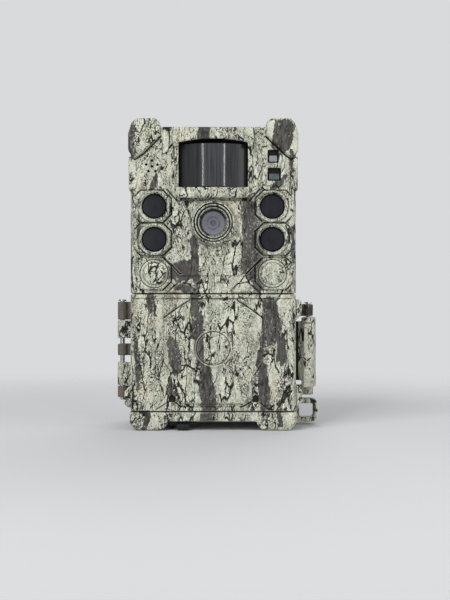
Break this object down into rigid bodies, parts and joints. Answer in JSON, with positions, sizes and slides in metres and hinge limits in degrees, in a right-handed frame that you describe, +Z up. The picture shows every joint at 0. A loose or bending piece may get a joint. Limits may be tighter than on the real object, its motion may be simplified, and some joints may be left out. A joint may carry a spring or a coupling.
{
  "type": "trail camera",
  "caption": "Strap-on wildlife camera: lens, motion and infra-red windows over a hinged, latched door, keypad and screen behind it, slide-out battery tray, tree bracket",
  "frame": {"origin": "centre of the flat pad on the back of the tree bracket", "axes": "+Y out of the back, away from the scene, so the lens looks along -Y; +Z up; +X to the right as seen from in front"},
  "size_m": [0.1051, 0.0639, 0.1546],
  "materials": {
    "camo_shell": "moulded shell with a printed bark film, matte",
    "camo_ring": "moulded ring in a matt camouflage finish",
    "dark_filter": "near-black infra-red pass plastic, polished",
    "fresnel": "dark satin polyethylene, finely ribbed",
    "lens_glass": "coated cover glass",
    "clear_window": "translucent polycarbonate",
    "black_plastic": "fine moulded texture",
    "steel": "plated steel",
    "brass": "turned brass",
    "circuit_board": "solder-masked board",
    "cell": "printed cell sleeve, plain bands",
    "key": "moulded key rubber",
    "rubber": "soft black rubber",
    "seal": "grey silicone",
    "card": "memory card shell",
    "screen": "display glass"
  },
  "bodies": {
    "shell": {"rear_housing": "camo_shell", "front_housing": "camo_shell", "blank_cap_left": "camo_ring", "blank_cap_right": "camo_ring", "lens_hood": "camo_ring", "lock_loop": "camo_shell", "ir_window_upper_left": "dark_filter", "ir_window_lower_left": "dark_filter", "ir_window_upper_right": "dark_filter", "ir_window_lower_right": "dark_filter", "pir_lens": "fresnel", "pir_sensor": "steel", "lens_window": "lens_glass", "lens_barrel": "black_plastic", "ir_cut_frame": "black_plastic", "sensor_board": "circuit_board", "ir_board_left": "circuit_board", "ir_board_right": "circuit_board", "main_board": "circuit_board", "light_sensor_window": "clear_window", "status_lamp_window": "clear_window", "microphone": "steel", "housing_seal": "seal", "door_seal": "seal", "chassis": "black_plastic", "control_panel": "black_plastic", "display_screen": "screen", "sd_socket": "steel", "hinge_pin": "steel", "latch_pin": "steel", "dc_jack": "black_plastic", "tripod_insert": "brass", "tree_bracket": "black_plastic", "case_screw_1": "steel", "case_screw_2": "steel", "case_screw_3": "steel", "case_screw_4": "steel", "bracket_screw_1": "steel", "bracket_screw_2": "steel"},
    "door": {"battery_door": "camo_shell", "door_emblem": "camo_ring"},
    "latch": {"latch_lever": "camo_shell"},
    "tray": {"battery_tray": "black_plastic", "battery_contacts": "steel", "contact_strip": "steel", "battery_1": "cell", "battery_2": "cell", "battery_3": "cell", "battery_4": "cell", "battery_5": "cell", "battery_6": "cell"},
    "ok_key": {"key_ok": "key"},
    "up_key": {"key_up": "key"},
    "down_key": {"key_down": "key"},
    "left_key": {"key_left": "key"},
    "right_key": {"key_right": "key"},
    "switch": {"mode_switch": "black_plastic"},
    "card": {"sd_card": "card"},
    "cover": {"port_cover": "rubber"},
    "filter": {"ir_cut_filter": "clear_window"}
  },
  "joints": [
    {"name": "door_swing", "type": "hinge", "parent": "shell", "child": "door", "pos_m": [-0.0476, -0.03, -0.0414], "axis": [0, 0, -1], "range_deg": [0, 140]},
    {"name": "latch_swing", "type": "hinge", "parent": "shell", "child": "latch", "pos_m": [0.0505, -0.022, -0.042], "axis": [0, 0, 1], "range_deg": [0, 100]},
    {"name": "tray_slide", "type": "slide", "parent": "shell", "child": "tray", "axis": [0, 0, -1], "range_m": [0, 0.055]},
    {"name": "port_cover_swing", "type": "hinge", "parent": "shell", "child": "cover", "pos_m": [-0.015, -0.0466, -0.0768], "axis": [1, 0, 0], "range_deg": [0, 80]},
    {"name": "mode_switch_slide", "type": "slide", "parent": "shell", "child": "switch", "axis": [1, 0, 0], "range_m": [0, 0.0096]},
    {"name": "sd_card_slide", "type": "slide", "parent": "shell", "child": "card", "axis": [0, -1, 0], "range_m": [-0.001, 0.0062]},
    {"name": "ir_filter_slide", "type": "slide", "parent": "shell", "child": "filter", "axis": [1, 0, 0], "range_m": [0, 0.01]},
    {"name": "ok_key_press", "type": "slide", "parent": "shell", "child": "ok_key", "axis": [0, 1, 0], "range_m": [0, 0.0006], "stiffness_N_per_m": 1500},
    {"name": "up_key_press", "type": "slide", "parent": "shell", "child": "up_key", "axis": [0, 1, 0], "range_m": [0, 0.0006], "stiffness_N_per_m": 1500},
    {"name": "down_key_press", "type": "slide", "parent": "shell", "child": "down_key", "axis": [0, 1, 0], "range_m": [0, 0.0006], "stiffness_N_per_m": 1500},
    {"name": "left_key_press", "type": "slide", "parent": "shell", "child": "left_key", "axis": [0, 1, 0], "range_m": [0, 0.0006], "stiffness_N_per_m": 1500},
    {"name": "right_key_press", "type": "slide", "parent": "shell", "child": "right_key", "axis": [0, 1, 0], "range_m": [0, 0.0006], "stiffness_N_per_m": 1500}
  ]
}
